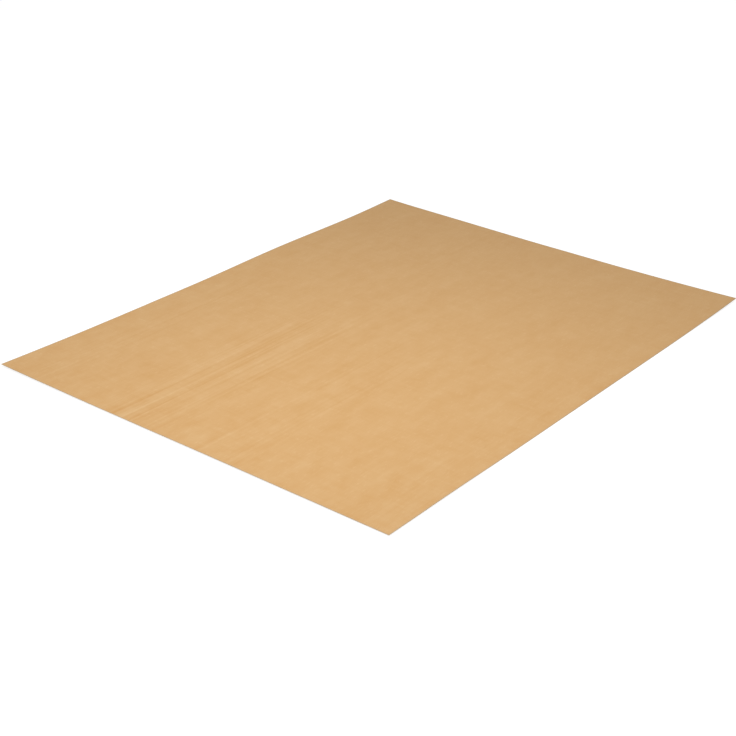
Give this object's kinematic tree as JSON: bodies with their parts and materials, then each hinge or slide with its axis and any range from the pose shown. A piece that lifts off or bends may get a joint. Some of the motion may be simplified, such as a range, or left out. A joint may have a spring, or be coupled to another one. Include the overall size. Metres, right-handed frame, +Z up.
{
  "type": "baking mat",
  "caption": "Flat reusable baking mat: woven glass cloth with a non-stick PTFE coat on each face, cut to a square-cornered rectangle that lies on a baking tray.",
  "frame": {"origin": "middle of the underside, on the surface that the mat lies on", "axes": "+X along the long side, +Y along the short side, +Z up, out of the face that food lies on"},
  "size_m": [0.4318, 0.3302, 0.0001],
  "materials": {
    "coat": "satin tan PTFE, with the cloth's yarns just showing through",
    "cloth": "woven glass yarns, bare only on the cut edge"
  },
  "bodies": {
    "root": {"tray_side_coat": "coat", "glass_cloth": "cloth", "food_side_coat": "coat"}
  },
  "joints": []
}
